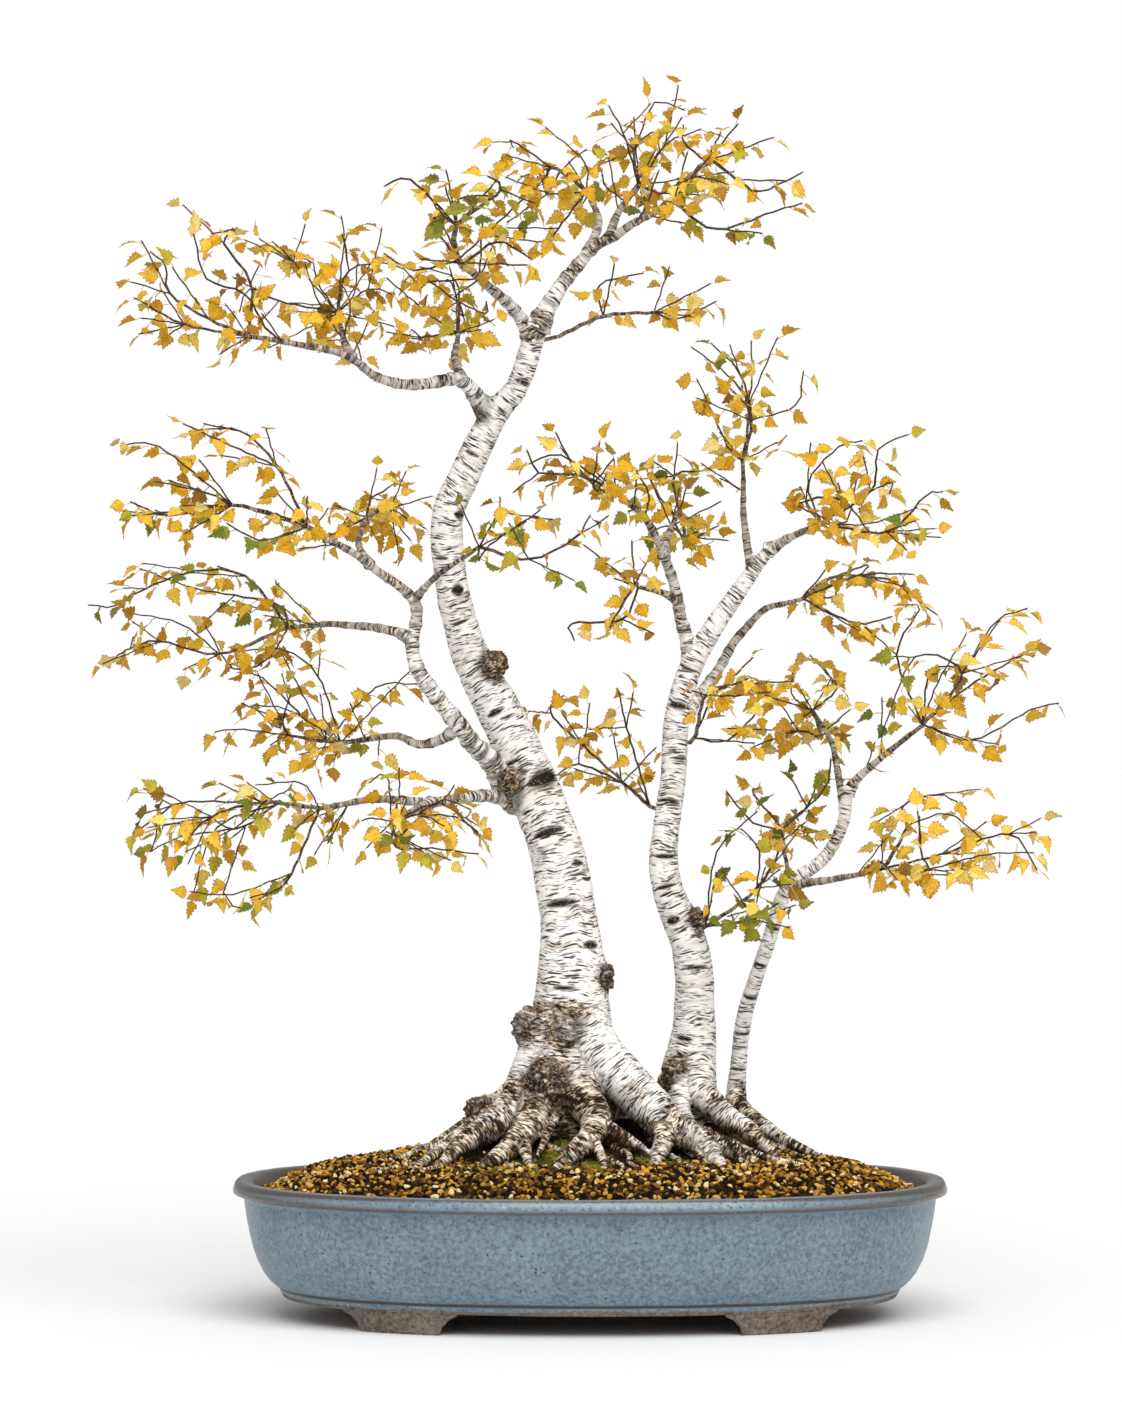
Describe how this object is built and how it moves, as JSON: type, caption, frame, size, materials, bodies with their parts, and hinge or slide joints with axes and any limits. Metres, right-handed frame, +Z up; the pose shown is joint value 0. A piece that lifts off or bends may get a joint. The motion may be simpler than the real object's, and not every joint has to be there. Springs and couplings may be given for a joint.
{
  "type": "japanese white birch bonsai",
  "caption": "Clump of white-barked birch trunks in autumn leaf, as a bonsai on spreading surface roots in a glazed oval pot with feet.",
  "frame": {"origin": "on the level under the pot's feet, below the middle of the plant's overall width and depth", "axes": "+Z up, +Y away from the viewer of the picture, +X to the viewer's right"},
  "size_m": [0.6909, 0.36, 0.8716],
  "materials": {
    "pot_glaze": "mottled blue-grey glaze, bare stoneware on the feet",
    "soil_grit": "rough",
    "birch_bark": "white birch bark with dark lenticels",
    "limb_bark": "grey-brown young bark",
    "leaves_and_twigs": "golden autumn leaf"
  },
  "bodies": {
    "root": {"pot": "pot_glaze", "soil": "soil_grit", "trunk_main": "birch_bark", "trunk_second": "birch_bark", "trunk_third": "birch_bark", "bough_apex": "limb_bark", "bough_apex_left": "limb_bark", "bough_front_right": "limb_bark", "bough_left_back": "limb_bark", "bough_left_inner": "limb_bark", "bough_left_middle": "limb_bark", "bough_left_stem": "limb_bark", "bough_low_front": "limb_bark", "bough_low_left": "limb_bark", "bough_second_apex": "limb_bark", "bough_second_back": "limb_bark", "bough_second_front": "limb_bark", "bough_second_left": "limb_bark", "bough_second_right": "limb_bark", "bough_second_top": "limb_bark", "bough_third_left": "limb_bark", "bough_third_low": "limb_bark", "bough_third_right": "limb_bark", "bough_top_back": "limb_bark", "bough_top_front": "limb_bark", "bough_top_left": "limb_bark", "bough_top_left_upper": "limb_bark", "bough_top_right": "limb_bark", "foliage_apex": "leaves_and_twigs", "foliage_apex_left": "leaves_and_twigs", "foliage_front_right": "leaves_and_twigs", "foliage_left_back": "leaves_and_twigs", "foliage_left_inner": "leaves_and_twigs", "foliage_left_middle": "leaves_and_twigs", "foliage_left_outer": "leaves_and_twigs", "foliage_low_front": "leaves_and_twigs", "foliage_low_left": "leaves_and_twigs", "foliage_right_of_leader": "leaves_and_twigs", "foliage_second_apex": "leaves_and_twigs", "foliage_second_back": "leaves_and_twigs", "foliage_second_front": "leaves_and_twigs", "foliage_second_left": "leaves_and_twigs", "foliage_second_low": "leaves_and_twigs", "foliage_second_low_left": "leaves_and_twigs", "foliage_second_low_right": "leaves_and_twigs", "foliage_second_right": "leaves_and_twigs", "foliage_second_top": "leaves_and_twigs", "foliage_third_back": "leaves_and_twigs", "foliage_third_left": "leaves_and_twigs", "foliage_third_low": "leaves_and_twigs", "foliage_third_right": "leaves_and_twigs", "foliage_top_back": "leaves_and_twigs", "foliage_top_front": "leaves_and_twigs", "foliage_top_left": "leaves_and_twigs", "foliage_top_left_outer": "leaves_and_twigs", "foliage_top_right": "leaves_and_twigs"}
  },
  "joints": []
}
